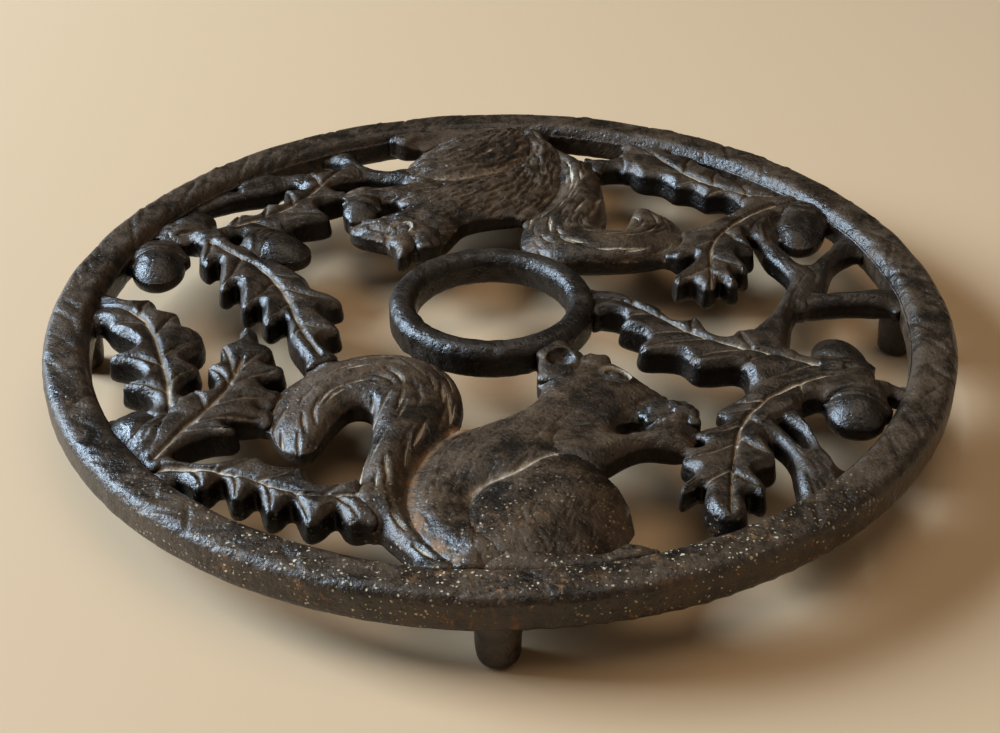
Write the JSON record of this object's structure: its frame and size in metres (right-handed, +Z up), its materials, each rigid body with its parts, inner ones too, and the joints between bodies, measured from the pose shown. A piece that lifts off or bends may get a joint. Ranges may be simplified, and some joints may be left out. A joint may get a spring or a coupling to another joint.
{
  "type": "trivet",
  "caption": "Round cast-iron trivet on peg feet: squirrels, oak leaves and acorns cast in open relief between a plain rim and a centre ring; holds a hot pot off the table.",
  "frame": {"origin": "centre of the round rim, on the plane of the foot ends", "axes": "+Z up, away from the table; +Y from the front squirrel towards the back squirrel; +X to the right as seen from the front"},
  "size_m": [0.2, 0.2, 0.0195],
  "materials": {
    "rim_iron": "worn satin black paint",
    "ring_iron": "worn satin black paint",
    "squirrel_iron": "worn satin black paint",
    "leaf_iron": "worn satin black paint",
    "acorn_iron": "worn satin black paint",
    "twig_iron": "worn satin black paint"
  },
  "bodies": {
    "root": {"back_link_twig": "twig_iron", "back_squirrel_acorn_cup": "acorn_iron", "back_squirrel_acorn_nut": "acorn_iron", "back_squirrel_far_ear": "squirrel_iron", "back_squirrel_foreleg": "squirrel_iron", "back_squirrel_haunch": "squirrel_iron", "back_squirrel_hind_foot": "squirrel_iron", "back_squirrel_near_ear": "squirrel_iron", "back_squirrel_tail": "squirrel_iron", "back_squirrel_torso": "squirrel_iron", "back_twig": "twig_iron", "centre_ring": "ring_iron", "foot_back": "rim_iron", "foot_front": "rim_iron", "foot_left": "rim_iron", "foot_right": "rim_iron", "front_squirrel_acorn_cup": "acorn_iron", "front_squirrel_acorn_nut": "acorn_iron", "front_squirrel_far_ear": "squirrel_iron", "front_squirrel_foreleg": "squirrel_iron", "front_squirrel_haunch": "squirrel_iron", "front_squirrel_hind_foot": "squirrel_iron", "front_squirrel_near_ear": "squirrel_iron", "front_squirrel_tail": "squirrel_iron", "front_squirrel_torso": "squirrel_iron", "left_back_leaf": "leaf_iron", "left_back_lower_twig": "twig_iron", "left_back_upper_twig": "twig_iron", "left_far_acorn_cup": "acorn_iron", "left_far_acorn_nut": "acorn_iron", "left_front_acorn_cup": "acorn_iron", "left_front_acorn_nut": "acorn_iron", "left_front_twig": "twig_iron", "left_inner_acorn_cup": "acorn_iron", "left_inner_acorn_nut": "acorn_iron", "left_inner_leaf": "leaf_iron", "left_middle_leaf": "leaf_iron", "left_rim_acorn_cup": "acorn_iron", "left_rim_acorn_nut": "acorn_iron", "left_rim_leaf": "leaf_iron", "left_upper_leaf": "leaf_iron", "right_back_acorn_cup": "acorn_iron", "right_back_acorn_nut": "acorn_iron", "right_back_leaf": "leaf_iron", "right_back_twig": "twig_iron", "right_far_acorn_cup": "acorn_iron", "right_far_acorn_nut": "acorn_iron", "right_front_far_twig": "twig_iron", "right_front_leaf": "leaf_iron", "right_front_twig": "twig_iron", "right_inner_leaf": "leaf_iron", "right_lower_twig": "twig_iron", "right_rim_acorn_cup": "acorn_iron", "right_rim_acorn_nut": "acorn_iron", "right_rim_leaf": "leaf_iron", "right_upper_twig": "twig_iron", "rim": "rim_iron"}
  },
  "joints": []
}
